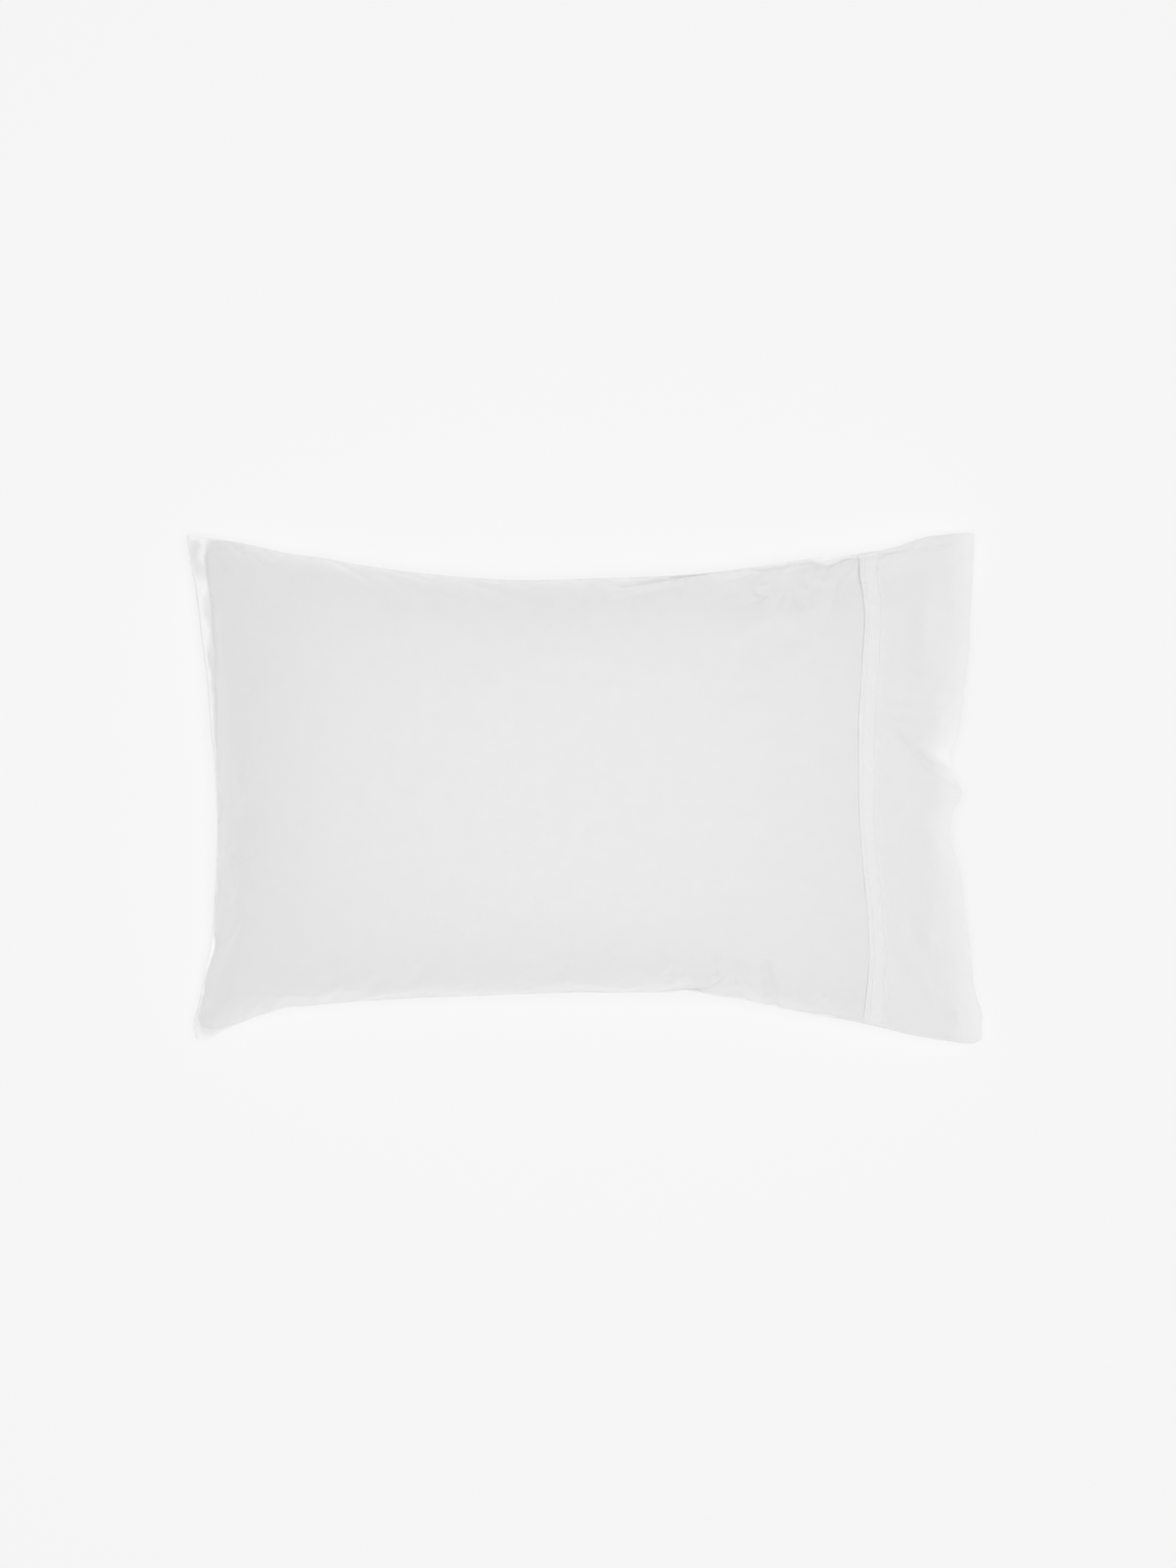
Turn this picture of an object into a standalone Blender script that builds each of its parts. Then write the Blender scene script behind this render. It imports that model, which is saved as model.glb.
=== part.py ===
"""Filled pillowcase lying on its back: a seamed body and a wide cuff lapped over its open end.

Lengths in the tables are millimetres. X runs along the case towards its open mouth, Y across it,
Z up from the surface that it rests on.
"""
import bmesh
import bpy
import numpy as np

MM = 0.001

# ---------------------------------------------------------------- sizes
SEAM_HALF = 1.0        # half of the two cloths pressed together in a seam
CUFF_WALL = 1.6        # the cuff's cloth, turned double
CUFF_RISE = 1.0        # how far the cuff stands proud of the body it laps
SEAM_WALL = 1.4        # the cuff's wall at its side seams, in plan
GAP = 0.9              # clear space between the cuff and the body inside it
SIDE_GAP = 1.1         # the same at the side seams, in plan
TUCK_FROM = 7.5        # the body starts to dip under the cuff this far before the cuff's edge
TUCK_TO = 1.8          # and has reached its full dip this far before it
PLUG = 62.0            # the body's rounded end reaches this far into the cuff
PLUG_ROUND = 52.0      # length over which that end rounds off
PLUG_CORNER = 34.0     # how far its corners draw in
END_ROUND = 150.0      # length over which the closed end swells to its full height
END_POWER = 2.5
PRESS = 9.0            # how far the soft underside would sink if nothing held it up
TOUCH = 5.0            # half height of the bend where the underside leaves the surface


def table(names, *rows):
    """A table with named columns, each one an array."""
    return {name: np.array(column, float) for name, column in zip(names.split(), zip(*rows))}


# The long seams, in plan and height
FAR_SEAM = table(
    "x y z",
    (-400, 253.2, 38), (-380, 251.3, 41), (-340, 244.6, 46), (-300, 235.2, 51), (-262, 229.6, 56),
    (-223, 222.2, 60), (-145, 212.4, 66), (-60, 206.8, 69), (12, 208.8, 69), (90, 211.6, 68),
    (168, 220.2, 66), (207, 226.6, 64), (267, 233.4, 60), (306, 240.2, 53), (342, 252.0, 40),
    (386, 256.0, 25), (392, 254.2, 23),
)
NEAR_SEAM = table(
    "x y z",
    (-392, -250.0, 31), (-380, -250.6, 32), (-360, -241.2, 36), (-340, -232.4, 40),
    (-320, -225.4, 44), (-282, -217.6, 50), (-203, -210.6, 60), (-86, -205.4, 68), (0, -203.0, 69),
    (92, -202.4, 69), (149, -209.0, 67), (208, -221.4, 63), (286, -236.1, 54), (325, -245.8, 44),
    (364, -252.8, 31), (386, -255.6, 24), (398, -251.0, 21),
)

# Lines across the case, v from the near seam (0) to the far one (1)
CLOSED_END = table(
    "v x lift flap",
    (0.00, -390.4, 0, 7), (0.03, -392.2, 1, 5), (0.07, -387.5, 2, 2), (0.13, -382.6, 6, 0),
    (0.19, -375.9, 10, 0), (0.27, -371.6, 15, 0), (0.42, -367.9, 21, 0), (0.54, -370.6, 21, 0),
    (0.62, -375.2, 18, 3), (0.70, -378.4, 13, 8), (0.81, -385.5, 8, 12), (0.89, -390.4, 4, 14),
    (0.96, -396.8, 1, 16), (1.00, -399.0, 0, 17),
)
CUFF_LINE = table(
    "v x",
    (0.00, 276.4), (0.08, 279.2), (0.14, 281.0), (0.22, 279.4), (0.32, 274.3), (0.42, 270.4),
    (0.49, 269.2), (0.63, 269.0), (0.71, 271.4), (0.78, 273.4), (0.87, 276.4), (0.91, 276.4),
    (0.96, 274.2), (1.00, 272.0),
)
MOUTH = table(
    "v x under",
    (0.00, 397.0, 396.4), (0.04, 397.6, 394.6), (0.11, 389.2, 386.8), (0.19, 384.8, 381.4),
    (0.27, 378.2, 374.8), (0.34, 374.0, 367.6), (0.38, 366.6, 362.6), (0.42, 362.6, 359.4),
    (0.46, 365.6, 359.0), (0.485, 373.2, 360.0), (0.505, 373.4, 361.2), (0.53, 370.0, 362.8),
    (0.565, 369.4, 365.0), (0.61, 374.0, 368.2), (0.69, 378.2, 373.6), (0.77, 383.0, 378.4),
    (0.84, 385.0, 382.0), (0.92, 387.9, 385.6), (1.00, 390.0, 389.4),
)

# Sections along the case: height of the crown and the fullness of the front and the back.
# A section is (1 - |s| ** spread) ** blunt of its height, s running from seam to seam.
SECTIONS = table(
    "x crown spread blunt back_spread back_blunt",
    (-400, 116, 2.1, 0.66, 2.6, 0.56), (-340, 130, 2.2, 0.57, 2.8, 0.48),
    (-270, 147, 2.4, 0.48, 3.1, 0.40), (-180, 160, 2.6, 0.42, 3.3, 0.36),
    (-60, 168, 2.7, 0.40, 3.4, 0.34),
    (60, 165, 2.7, 0.40, 3.4, 0.34), (150, 154, 2.6, 0.43, 3.3, 0.36),
    (220, 137, 2.5, 0.50, 3.1, 0.42), (270, 117, 2.4, 0.60, 2.9, 0.52),
    (320, 83, 2.2, 0.78, 2.6, 0.72), (350, 62, 2.1, 0.90, 2.4, 0.86), (400, 44, 2.0, 1.00, 2.2, 0.96),
)

# Wrinkles of the front: soft troughs (negative) and ridges between two points in plan
FOLDS = table(
    "x1 y1 x2 y2 width height",
    (308, 52, 344, 24, 9, -6.0),      # the deep fold that runs into the mouth
    (340, 28, 374, 4, 9, -9.0),
    (290, 30, 330, -4, 20, 3.5),      # the broad ridge below it
    (326, -6, 368, -8, 17, 4.5),
    (292, 78, 350, 70, 12, -2.2),     # drag lines across the cuff
    (318, -110, 348, -140, 12, -2.0),
    (148, 192, 190, 172, 16, -3.4),   # hollows at the far side before the cuff
    (172, 154, 200, 130, 15, -2.6),
    (28, 192, 112, 208, 8, 2.0),      # the long drag line by the far seam
    (236, 214, 266, 228, 7, 2.4),     # tucks at the far seam
    (86, -184, 138, -200, 10, -2.8),  # puckers at the near seam
    (186, -184, 192, -202, 9, -3.2),
    (-300, -206, -240, -210, 9, -1.6),
    (-376, 150, -366, 96, 7, 2.6),    # the ridge inside the closed end's flat strip
)


# ---------------------------------------------------------------- curves
def along(columns, key, name, at):
    """Smooth value of a column at a place along the table, with no overshoot."""
    xs, ys = columns[key], columns[name]
    at = min(max(at, xs[0]), xs[-1])
    steps = np.diff(xs)
    rates = np.diff(ys) / steps
    i = min(int(np.searchsorted(xs, at, side="right")) - 1, len(steps) - 1)

    def slope(k):
        if k == 0:
            return rates[0]
        if k == len(steps):
            return rates[-1]
        before, after = rates[k - 1], rates[k]
        return 0.0 if before * after <= 0 else 2 * before * after / (before + after)

    t = (at - xs[i]) / steps[i]
    rise = ys[i + 1] - ys[i]
    start, end = slope(i) * steps[i], slope(i + 1) * steps[i]
    return float(ys[i] + t * start + t * t * (3 * rise - 2 * start - end) + t**3 * (start + end - 2 * rise))


def ease(low, high, at):
    """0 below low, 1 above high and a soft step between them."""
    t = min(max((at - low) / (high - low), 0.0), 1.0)
    return t * t * (3 - 2 * t)


def swell(share, power):
    """The quarter round of a filled edge: 0 at share 0, upright there, and level at 1."""
    share = min(max(share, 0.0), 1.0)
    return (1 - (1 - share) ** power) ** (1 / power)


def rest(z):
    """Height of the underside held up by the surface: level at 0 where it is pressed down."""
    if z >= TOUCH:
        return z
    if z <= -TOUCH:
        return 0.0
    return (z + TOUCH) ** 2 / (4 * TOUCH)


def wrinkle(x, y):
    """Height that the folds add at a place on the front."""
    total = 0.0
    for x1, y1, x2, y2, width, height in zip(*FOLDS.values()):
        run = np.array((x2 - x1, y2 - y1))
        place = np.array((x - x1, y - y1))
        share = min(max(float(place @ run) / float(run @ run), 0.0), 1.0)
        off = float(np.hypot(*(place - share * run)))
        total += height * float(np.exp(-((off / width) ** 2)))
    return total


# ---------------------------------------------------------------- the case's form
def across(x, v, inset=0.0):
    """Place across the case at v, with the outline drawn in by an inset."""
    far = along(FAR_SEAM, "x", "y", x) - inset
    near = along(NEAR_SEAM, "x", "y", x) + inset
    return near + v * (far - near)


def seam_height(x, v):
    """Height of the sheet on which the front and the back meet."""
    far, near = along(FAR_SEAM, "x", "z", x), along(NEAR_SEAM, "x", "z", x)
    lift = along(CLOSED_END, "v", "lift", v) * (1 - ease(-400, -240, x))
    return near + v * (far - near) + lift


def fullness(x, v):
    """How far the front rises and the back falls from the seam sheet, both above 0."""
    middle = seam_height(x, v)
    filled = x - along(CLOSED_END, "v", "x", v) - along(CLOSED_END, "v", "flap", v)
    end = swell(filled / END_ROUND, END_POWER)
    s = abs(2 * v - 1)
    front = (1 - s ** along(SECTIONS, "x", "spread", x)) ** along(SECTIONS, "x", "blunt", x)
    back = (1 - s ** along(SECTIONS, "x", "back_spread", x)) ** along(SECTIONS, "x", "back_blunt", x)
    front *= end * (along(SECTIONS, "x", "crown", x) - middle)
    back *= end * (middle + PRESS)
    return max(front, 0.0), max(back, 0.0)


def front_at(x, v, inset, thin, half, close=1.0):
    """Point of the front at x and v.

    The outline is drawn in by inset, the cloth is brought in by thin at the middle of the case,
    half is what is left of the fill at the seams, and close shrinks the fill.
    """
    y = across(x, v, inset)
    rise, full = fullness(x, v)[0], fullness(x, 0.5)[0]
    keep = 1 - thin / full if full > thin else 1.0
    fade = min(1.0, rise / 12.0)
    return x, y, seam_height(x, v) + half + close * (rise * keep + wrinkle(x, y) * fade)


def back_at(x, v, inset, thin, half, close=1.0):
    """Point of the back at x and v, in the same way."""
    fall, full = fullness(x, v)[1], fullness(x, 0.5)[1]
    keep = 1 - thin / full if full > thin else 1.0
    start = seam_height(x, v) - half
    return x, across(x, v, inset), start + close * (rest(start - fall) + fall * (1 - keep) - start)


def spaced(count, bunch):
    """Shares from 0 to 1, bunched towards both ends."""
    even = np.linspace(0, 1, count + 1)
    return (1 - bunch) * even + bunch * (1 - np.cos(np.pi * even)) / 2


ACROSS = spaced(36, 0.72)


def ring(points_at):
    """One closed section: the front from the near seam to the far one, then the back."""
    pairs = [points_at(v) for v in ACROSS]
    return [front for front, back in pairs] + [back for front, back in reversed(pairs)]


# ---------------------------------------------------------------- meshes
def loft(mesh, rings):
    """Skin closed sections of one count of points; returns the rows of vertices."""
    rows = [[mesh.verts.new(np.array(point) * MM) for point in points] for points in rings]
    for one, two in zip(rows, rows[1:]):
        for k in range(len(one)):
            following = (k + 1) % len(one)
            mesh.faces.new((one[k], two[k], two[following], one[following]))
    return rows


def close_slit(mesh, row):
    """Close a section whose front and back lie just apart, with a face for each pair of steps."""
    count = len(row)
    for k in range(count // 2 - 1):
        mesh.faces.new((row[k], row[k + 1], row[count - 2 - k], row[count - 1 - k]))


def finish(mesh, name, colour, roughness, collection):
    """Turn a mesh into a named object with its own material."""
    bmesh.ops.recalc_face_normals(mesh, faces=mesh.faces)
    bmesh.ops.triangulate(mesh, faces=mesh.faces, quad_method="SHORT_EDGE")
    for face in mesh.faces:
        face.smooth = True
    data = bpy.data.meshes.new(name)
    mesh.to_mesh(data)
    mesh.free()
    piece = bpy.data.objects.new(name, data)
    collection.objects.link(piece)
    cloth = bpy.data.materials.new(name + "_cloth")
    cloth.use_nodes = True
    shader = cloth.node_tree.nodes["Principled BSDF"]
    shader.inputs["Base Color"].default_value = colour
    shader.inputs["Roughness"].default_value = roughness
    data.materials.append(cloth)
    return piece


def build_body(collection):
    """The filled body: closed end, drawn-in sides, and a rounded end inside the cuff."""
    start = np.concatenate((np.array((0, 4, 9, 15, 22, 30, 39, 50, 63, 78, 96)), np.linspace(116, 616, 27)))
    length = 644.0
    tail = np.array((-TUCK_FROM - 8, -TUCK_FROM, -TUCK_TO - 2.4, -TUCK_TO, 8, 18, 28, 37, 45, 52, 57, 60.4, PLUG))

    def place(station, v):
        closed, cuff = along(CLOSED_END, "v", "x", v), along(CUFF_LINE, "v", "x", v)
        return closed + (cuff - closed) * station / length

    def point(x, past, v):
        tucked = ease(-TUCK_FROM, -TUCK_TO, past)
        rounding = min(max((past - (PLUG - PLUG_ROUND)) / PLUG_ROUND, 0.0), 1.0)
        close = (1 - rounding**2.4) ** (1 / 2.4)
        corner = PLUG_CORNER * (1 - (1 - rounding**2.2) ** (1 / 2.2))
        inset = tucked * (SEAM_WALL + SIDE_GAP) + corner
        thin_front = tucked * (CUFF_WALL - CUFF_RISE + GAP)
        thin_back = tucked * (CUFF_WALL + GAP)
        half = SEAM_HALF * (1 - 0.5 * tucked)
        return front_at(x, v, inset, thin_front, half, close), back_at(x, v, inset, thin_back, half, close)

    rings = [ring(lambda v, s=s: point(place(s, v), -100, v)) for s in start if s < length - TUCK_FROM - 9]
    rings += [ring(lambda v, t=t: point(along(CUFF_LINE, "v", "x", v) + t, t, v)) for t in tail]
    mesh = bmesh.new()
    rows = loft(mesh, rings)
    close_slit(mesh, rows[0])
    close_slit(mesh, rows[-1])
    return finish(mesh, "case_body", (0.84, 0.84, 0.84, 1.0), 0.85, collection)


def build_cuff(collection):
    """The cuff: a thin sleeve round the body's open end, its own end open."""
    shares = (0.0, 0.06, 0.13, 0.21, 0.3, 0.4, 0.5, 0.6, 0.7, 0.8, 0.9, 1.0)

    def place(share, v, edge):
        cuff, mouth = along(CUFF_LINE, "v", "x", v), along(MOUTH, "v", edge, v)
        return cuff + (mouth - cuff) * share

    def outer(share, v):
        x, y, z = front_at(place(share, v, "x"), v, 0.0, 0.0, SEAM_HALF)
        return (x, y, z + CUFF_RISE), back_at(place(share, v, "under"), v, 0.0, 0.0, SEAM_HALF)

    def inner(share, v):
        front = front_at(place(share, v, "x"), v, SEAM_WALL, CUFF_WALL - CUFF_RISE, 0.2)
        return front, back_at(place(share, v, "under"), v, SEAM_WALL, CUFF_WALL, 0.2)

    mesh = bmesh.new()
    outside = loft(mesh, [ring(lambda v, s=s: outer(s, v)) for s in shares])
    inside = loft(mesh, [ring(lambda v, s=s: inner(s, v)) for s in shares])
    for one, two in ((outside[0], inside[0]), (outside[-1], inside[-1])):
        for k in range(len(one)):
            following = (k + 1) % len(one)
            mesh.faces.new((one[k], one[following], two[following], two[k]))
    return finish(mesh, "cuff", (0.86, 0.86, 0.86, 1.0), 0.85, collection)


for leftover in list(bpy.data.objects):
    bpy.data.objects.remove(leftover, do_unlink=True)
pillowcase = bpy.data.collections.new("pillowcase")
bpy.context.scene.collection.children.link(pillowcase)
pieces = (build_body(pillowcase), build_cuff(pillowcase))

# The origin is at the middle of the underside
corners = np.array([vertex.co for piece in pieces for vertex in piece.data.vertices])
middle = (corners.min(axis=0) + corners.max(axis=0)) / 2
middle[2] = corners.min(axis=0)[2]
for piece in pieces:
    for vertex in piece.data.vertices:
        vertex.co = np.array(vertex.co) - middle
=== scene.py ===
"""Dress of a filled white cotton pillowcase: the body's cloth, the lapped cuff and its topstitching.

Lengths in the tables are millimetres, in the frame's axes: X towards the open mouth, Y across, Z up.
"""
import math

import bmesh
import bpy
import numpy as np
from mathutils import Matrix, Vector, noise


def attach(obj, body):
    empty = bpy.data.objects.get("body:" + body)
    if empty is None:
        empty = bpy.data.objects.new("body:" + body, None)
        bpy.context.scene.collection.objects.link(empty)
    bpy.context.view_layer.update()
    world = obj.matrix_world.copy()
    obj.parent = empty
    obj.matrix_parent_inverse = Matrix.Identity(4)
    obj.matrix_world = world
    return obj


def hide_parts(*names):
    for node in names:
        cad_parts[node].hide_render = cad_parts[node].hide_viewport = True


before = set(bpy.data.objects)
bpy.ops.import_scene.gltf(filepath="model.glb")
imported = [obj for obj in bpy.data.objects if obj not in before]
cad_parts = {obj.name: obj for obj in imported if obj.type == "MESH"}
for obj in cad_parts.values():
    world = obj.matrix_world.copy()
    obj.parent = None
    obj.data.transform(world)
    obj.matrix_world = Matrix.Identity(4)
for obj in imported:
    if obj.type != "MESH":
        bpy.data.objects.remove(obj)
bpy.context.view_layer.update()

MM = 0.001
ORIGIN = np.array((0.707, -0.121, 0.0))     # the tables' origin in the frame

# ---------------- sizes
FLAT_WIDTH = 508.0        # cut width of the case, seam to seam
FLAT_BODY = 693.0         # cut length of the body, closed end to the cuff's edge
FLAT_CUFF = 120.0         # cut depth of the cuff
HEM_TURN = 17.0           # the cuff's turned-under edge
STITCH_ROWS = (2.5, 5.0)  # the topstitching's distances from the cuff's edge
STITCH_PITCH = 2.8
STITCH_LENGTH = 2.15
STITCH_LAG = 1.1          # how far the second row's stitches lag behind the first's
BACK_SHIFT = 41.0         # gives the back's hem other puckers than the front's
THREAD = 0.42             # the thread's width, and the share of it that a stitch stands up by
THREAD_RISE = 0.42
CUFF_CLOTH = 0.55         # the cuff's doubled cloth
LAP_RISE = 0.3            # how far the cuff stands above the body's cloth, and its turned edge above that
HEM_RISE = 0.75
LAP_GAP = 0.08            # the space left between the turned edge and the body's cloth
LAP_DIP = 0.85            # how far the body's cloth sinks under the cuff, on the front and on the back
BACK_DIP = 1.2
EDGE_LIP = 0.3            # the small swell of the body's cloth just before the cuff's edge
EDGE_SIDE_DIP = 0.15      # how far the body is drawn in at its seams, at the cuff's edge and under it
SIDE_DIP = 1.5
SEAM_HALF = 0.75          # half the height of the cloth at its seams
FAR_FLANGE = 0.7          # the far seam's flat, unfilled edge
EDGE_BAND = 0.012         # the share of the cloth's width and length that lies in the flat edges
END_EASE = 0.04           # how soon the cloth's length is spread evenly past the closed end
EDGE_TILT = -0.8          # how the side seams' flat edges slope, and the most they droop by
EDGE_DROOP = 2.0
NEAR_FOOT = 3.5           # softness of the fill next to the near and the far seam
FAR_FOOT = 2.5
END_ROUND = 150.0         # the length and the roundness of the fill's rise from the closed end
END_POWER = 2.5
PLUG = 62.0               # how far the filled body goes on under the cuff, and how it rounds off there
PLUG_ROUND = 52.0
PLUG_CORNER = 34.0
PRESS = 9.0               # how far the filled underside would sag below the surface that presses it flat
TOUCH = 5.0               # the height over which the underside leaves the surface
MOUTH_DROOP = 3.0         # the mouth's upper edge hangs by this, over its last stretch
DROOP_FROM = 26.0


def table(names, *rows):
    """A table with named columns, each one an array."""
    return {name: np.array(column, float) for name, column in zip(names.split(), zip(*rows))}


# v is a share of the width, from the near seam to the far one. z is a seam's height, flap and tilt the
# width and the slope of a flat edge, lift what the closed end adds to z, foot the softness of the fill,
# under the mouth's lower edge, crown the front's height, and spread and blunt shape its rounding.
FAR_SEAM = table(
    "x y z",
    (-400, 253.2, 38), (-380, 251.3, 41), (-340, 244.6, 46), (-300, 235.2, 51), (-262, 229.6, 56),
    (-223, 222.2, 60), (-145, 212.4, 66), (-60, 206.8, 69), (12, 208.8, 69), (90, 211.6, 68),
    (168, 220.2, 66), (207, 226.6, 64), (267, 233.4, 60), (306, 240.2, 53), (342, 252, 40),
    (386, 256, 25), (392, 254.2, 23),
)
NEAR_SEAM = table(
    "x y z flap",
    (-392, -250, 31, 11), (-380, -250.6, 32, 11), (-360, -241.2, 36, 9), (-340, -232.4, 40, 4),
    (-320, -225.4, 44, 2.2), (-282, -217.6, 50, 2), (-203, -210.6, 60, 2), (-86, -205.4, 68, 2),
    (0, -203, 69, 2), (92, -202.4, 69, 2.5), (149, -209, 67, 2.5), (208, -221.4, 63, 2),
    (286, -236.1, 54, 2), (325, -245.8, 44, 2), (364, -252.8, 31, 2), (386, -255.6, 24, 2),
    (398, -251, 21, 2),
)
CLOSED_END = table(
    "v x lift flap tilt foot",
    (0, -390.4, 0, 5, -0.4, 6), (0.03, -392.2, 1, 3, -0.5, 6), (0.07, -387.5, 2, 2.5, -0.5, 7),
    (0.13, -382.6, 6, 3, -0.5, 8), (0.19, -375.9, 10, 3.5, -0.5, 9), (0.27, -371.6, 15, 4, -0.5, 10),
    (0.42, -367.9, 21, 3.5, -0.5, 11), (0.54, -370.6, 21, 4, -0.4, 12), (0.62, -375.2, 18, 6, -0.2, 14),
    (0.70, -378.4, 13, 8, -0.12, 16), (0.81, -385.5, 8, 11, -0.06, 17), (0.89, -390.4, 4, 13, -0.04, 15),
    (0.96, -396.8, 1, 15, -0.04, 12), (1, -399, 0, 16, -0.04, 10),
)
CUFF_LINE = table(
    "v x",
    (0, 276.4), (0.08, 279.2), (0.14, 281), (0.22, 279.4), (0.32, 274.3), (0.42, 270.4),
    (0.49, 269.2), (0.63, 269), (0.71, 271.4), (0.78, 273.4), (0.87, 276.4), (0.91, 276.4),
    (0.96, 274.2), (1, 272),
)
MOUTH = table(
    "v x under",
    (0, 397, 396.4), (0.04, 397.6, 394.6), (0.11, 389.2, 386.8), (0.19, 384.8, 381.4),
    (0.27, 378.2, 374.8), (0.34, 374, 367.6), (0.38, 366.6, 362.6), (0.42, 362.6, 359.4),
    (0.46, 365.6, 359), (0.485, 373.2, 360), (0.505, 373.4, 361.2), (0.53, 370, 362.8),
    (0.565, 369.4, 365), (0.61, 374, 368.2), (0.69, 378.2, 373.6), (0.77, 383, 378.4),
    (0.84, 385, 382), (0.92, 387.9, 385.6), (1, 390, 389.4),
)
SECTIONS = table(
    "x crown spread blunt back_spread back_blunt",
    (-400, 116, 2.1, 0.66, 2.6, 0.56), (-340, 130, 2.2, 0.57, 2.8, 0.48),
    (-270, 147, 2.4, 0.48, 3.1, 0.40), (-180, 160, 2.6, 0.42, 3.3, 0.36),
    (-60, 168, 2.7, 0.40, 3.4, 0.34),
    (60, 165, 2.7, 0.40, 3.4, 0.34), (150, 154, 2.6, 0.43, 3.3, 0.36),
    (220, 137, 2.5, 0.50, 3.1, 0.42), (270, 117, 2.4, 0.60, 2.9, 0.52),
    (320, 83, 2.2, 0.78, 2.6, 0.72), (350, 60, 2.1, 0.90, 2.4, 0.86), (400, 40, 2, 1, 2.2, 0.96),
)

# Folds are (lean, power, stations). A station is x, y, width, height: troughs are negative. A positive
# lean makes the side to the left of the fold's direction the wide one, and a low power a sharp crest.
SHARED_FOLDS = (
    # the broad hollow under the far seam, on the body and on the cuff
    (0, 2, (96, 184, 16, -0.6), (146, 194, 22, -7), (200, 200, 26, -10),
     (250, 208, 26, -10), (300, 214, 24, -8), (340, 222, 20, -4), (370, 232, 14, -0.6)),
)
BODY_FOLDS = (
    # the faint ridge that leaves the flat edge at the closed end
    (0.3, 1.8, (-368, 182, 5, 0.3), (-362, 140, 6, 1.6), (-353, 92, 6, 0.5)),
    # the long crease under the far seam and the trough above it
    (0, 1.7, (10, 188, 4, 0.8), (36, 194, 4, 5), (71, 199.8, 3.8, 7), (99, 205, 3.4, 7),
     (121, 210, 3, 4.4)),
    (0, 1.7, (36, 200.5, 3.2, -4), (70, 205, 3.4, -7), (96, 209, 3.2, -4.8), (118, 213, 3, -3)),
    # pulls towards the far end of the cuff's edge, with hollows between them
    (0.4, 1.8, (112, 178, 9, 0.6), (127, 190, 8, 4), (142, 203, 6.5, 5.6), (166, 213.5, 4.5, 4.6),
     (180, 217, 4, 1.6)),
    (0, 1.8, (150, 170, 12, -0.6), (164, 186, 13, -7), (180, 200, 12, -8), (196, 212, 7, -4)),
    (0.4, 1.8, (176, 164, 7, 0.6), (189, 188, 7, 5.4), (195, 202, 6.5, 6.6), (212, 218, 5, 4.4)),
    (0, 1.8, (206, 160, 11, -0.6), (216, 180, 11, -5), (225, 196, 9, -3), (234, 208, 6, -0.6)),
    (0.5, 1.8, (236, 168, 7, 0.6), (243, 190, 7, 4.4), (249, 206, 7, 5), (260, 222, 5, 3.4)),
    (0, 1.8, (148, 116, 13, -0.6), (172, 132, 15, -5), (196, 146, 15, -6), (222, 162, 11, -1.6)),
    (0.3, 1.8, (140, 134, 9, 0.4), (166, 154, 9, 3), (192, 170, 8, 2.8), (206, 180, 7, 0.6)),
    (0.4, 1.8, (198, 116, 10, 0.2), (222, 134, 11, 1.6), (246, 152, 10, 0.6)),
    # tucks beside the far end of the cuff's edge
    (0, 1.4, (230, 213, 2.4, 0.5), (241, 219, 2.6, 3.2), (255, 226, 2.6, 3.6), (268, 231.6, 2, 1.8)),
    (0, 1.6, (214, 222.5, 2.6, -0.8), (232, 224.5, 3.2, -3), (246, 228, 3, -3.2), (262, 231, 2.4, -1.4)),
    # tucks on the near seam
    (0.3, 1.5, (86, -197.5, 3, 1), (110, -194, 4, 5), (126, -187, 4.6, 5.6), (122, -174, 5, 0.8)),
    (0, 1.6, (92, -202, 2.6, -1), (112, -200, 3, -4.4), (130, -194, 4.6, -5), (140, -182, 6, -1)),
    (0, 1.5, (126, -203.5, 2.4, 0.8), (142, -205.2, 2.6, 3.6), (160, -208, 2.2, 0.8)),
    (0, 1.6, (140, -210, 2.2, -0.5), (152, -211.5, 2.4, -2), (166, -212.5, 2.2, -0.6)),
    (-0.4, 1.7, (178, -166, 7, -0.6), (184, -184, 7, -5.6), (188, -201, 7, -7), (190, -214, 5, -3)),
    (0, 1.8, (168, -180, 6, 0.8), (173, -196, 6, 4), (177, -210, 5, 3)),
    (0, 2, (204, -180, 9, 0.6), (216, -196, 10, 2.2), (224, -212, 8, 1.2)),
    (0, 2, (250, -206, 8, -0.4), (260, -216, 9, -2.6), (268, -226, 6, -1)),
    (-0.3, 2, (144, -150, 13, -0.4), (154, -176, 13, -2.6), (160, -200, 9, -2)),
    (0, 2, (96, -150, 14, 0.3), (112, -172, 13, 1.6), (120, -188, 9, 0.8)),
    # light pulls beside the near closed corner
    (0.2, 1.6, (-320, -209, 4, 0.5), (-290, -204.5, 4.4, 2.4), (-262, -205.5, 3.6, 0.8)),
    (0.2, 1.6, (-262, -200, 4, 0.4), (-236, -199, 4, 1.4), (-214, -201, 3.6, 0.4)),
    (0, 2, (-344, -70, 14, -0.5), (-354, -124, 15, -3.5), (-363, -172, 15, -6.5), (-371, -206, 11, -6)),
    (0, 2, (-352, 20, 8, 0.3), (-356, -20, 9, 1.2), (-354, -70, 9, 0.5)),
    # a small tuck on the far seam near the closed end
    (0, 1.5, (-352, 241, 2.6, 0.4), (-346, 244, 2.6, 2.4), (-340, 244.5, 2.2, 0.8)),
    (0, 1.6, (-353, 237.5, 2.4, -0.4), (-346, 240.2, 2.4, -1.6), (-338, 241, 2.2, -0.4)),
    (0, 1.8, (-384, 246, 3, -0.6), (-350, 206, 7, -2.2), (-318, 160, 10, -0.6)),
)
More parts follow.
